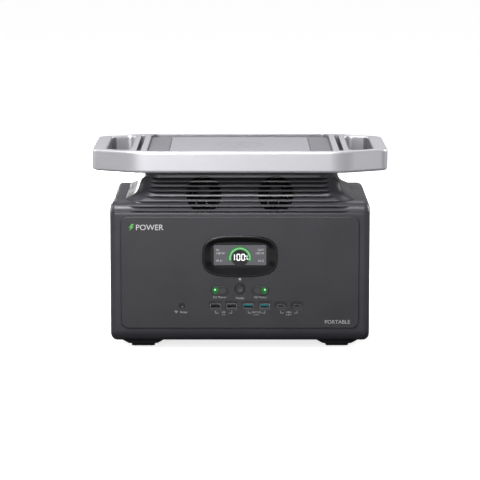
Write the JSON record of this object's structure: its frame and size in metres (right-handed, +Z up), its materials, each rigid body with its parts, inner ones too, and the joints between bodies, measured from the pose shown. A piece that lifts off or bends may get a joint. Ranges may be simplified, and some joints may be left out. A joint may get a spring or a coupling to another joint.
{
  "type": "portable power station",
  "caption": "Portable power station: dark rounded casing with front display, buttons and ports, louvred fan neck, and a silver carrying tray with a handle at each end on top.",
  "frame": {"origin": "on the ground, midway between the front and back and between the two sides", "axes": "+Z up, front panel faces -Y, +X to the right seen from the front"},
  "size_m": [0.42, 0.2432, 0.282],
  "materials": {
    "housing": "fine moulded grain, satin",
    "panel": "fine moulded grain, matt",
    "base": "coarse moulded grain",
    "rubber": "matt rubber",
    "screw": "zinc plated",
    "tray": "silver paint, satin",
    "tray_inner": "moulded, matt",
    "mat": "soft-touch silicone",
    "bezel": "piano black",
    "lens": "smoked hard-coated screen",
    "status": "milky light pipe",
    "buttons": "satin",
    "power_buttons": "satin",
    "breaker": "satin",
    "port_metal": "nickel plated",
    "port_black": "moulded nylon",
    "port_blue": "moulded nylon",
    "contacts": "plated",
    "board": "solder mask",
    "module": "pressed steel",
    "switch": "moulded",
    "cell": "blue sleeve",
    "holder": "moulded, flame retardant",
    "busbar": "nickel strip",
    "cable": "silicone insulation",
    "heatsink": "extruded, plain",
    "ferrite": "sintered",
    "winding": "enamelled copper",
    "capacitor": "sleeved can"
  },
  "bodies": {
    "station": {"ac_inlet": "port_black", "ac_outlets": "port_black", "base_hatch": "base", "base_screws": "screw", "battery_cables": "cable", "battery_cells": "cell", "bms_board": "board", "busbars": "busbar", "capacitors": "capacitor", "car_socket": "port_black", "charger_board": "board", "charging_coil": "winding", "charging_mat": "mat", "control_board": "board", "cover_pin": "screw", "dc_jacks": "port_black", "display_bezel": "bezel", "display_lens": "lens", "fan_frame_left": "switch", "fan_frame_right": "switch", "fast_usb_tongues": "port_blue", "ferrite_disc": "ferrite", "floor_strips": "tray_inner", "foot_front_left": "base", "foot_front_right": "base", "foot_pads": "rubber", "foot_rear_left": "base", "foot_rear_right": "base", "front_panel": "panel", "heatsinks": "heatsink", "inverter_board": "board", "lcd_module": "module", "lower_cell_holder": "holder", "lower_housing": "housing", "outlet_contacts": "contacts", "port_board": "board", "rear_panel": "panel", "socket_pins": "contacts", "solar_input": "port_black", "status_lens": "status", "tact_switches": "switch", "transformer_core": "ferrite", "transformer_winding": "winding", "tray_frame": "tray", "tray_screws": "screw", "tray_underside": "tray_inner", "upper_cell_holder": "holder", "upper_housing": "housing", "usb_a_shells": "port_metal", "usb_a_tongues": "port_black", "usb_c_shells": "port_metal", "usb_c_tongues": "port_black"},
    "display_button": {"display_button": "buttons"},
    "dc_button": {"dc_button": "power_buttons"},
    "ac_button": {"ac_button": "power_buttons"},
    "reset_button": {"reset_button": "buttons"},
    "fan_rotor_left": {"fan_rotor_left": "switch"},
    "fan_rotor_right": {"fan_rotor_right": "switch"},
    "socket_cover": {"car_socket_cover": "port_black"},
    "breaker_button": {"breaker_button": "breaker"}
  },
  "joints": [
    {"name": "display_button_press", "type": "slide", "parent": "station", "child": "display_button", "axis": [0, 1, 0], "range_m": [0, 0.0012], "stiffness_N_per_m": 600},
    {"name": "dc_button_press", "type": "slide", "parent": "station", "child": "dc_button", "axis": [0, 1, 0], "range_m": [0, 0.0012], "stiffness_N_per_m": 600},
    {"name": "ac_button_press", "type": "slide", "parent": "station", "child": "ac_button", "axis": [0, 1, 0], "range_m": [0, 0.0012], "stiffness_N_per_m": 600},
    {"name": "reset_button_press", "type": "slide", "parent": "station", "child": "reset_button", "axis": [0, 1, 0], "range_m": [0, 0.0012], "stiffness_N_per_m": 600},
    {"name": "breaker_button_press", "type": "slide", "parent": "station", "child": "breaker_button", "axis": [0, -1, 0], "range_m": [0, 0.0012], "stiffness_N_per_m": 1200},
    {"name": "fan_left_spin", "type": "hinge", "parent": "station", "child": "fan_rotor_left", "pos_m": [-0.051, -0.076, 0.2195], "axis": [0, 1, 0], "continuous": true},
    {"name": "fan_right_spin", "type": "hinge", "parent": "station", "child": "fan_rotor_right", "pos_m": [0.051, -0.076, 0.2195], "axis": [0, 1, 0], "continuous": true},
    {"name": "socket_cover_hinge", "type": "hinge", "parent": "station", "child": "socket_cover", "pos_m": [0.104, 0.1195, 0.157], "axis": [1, 0, 0], "range_deg": [0, 110]}
  ]
}
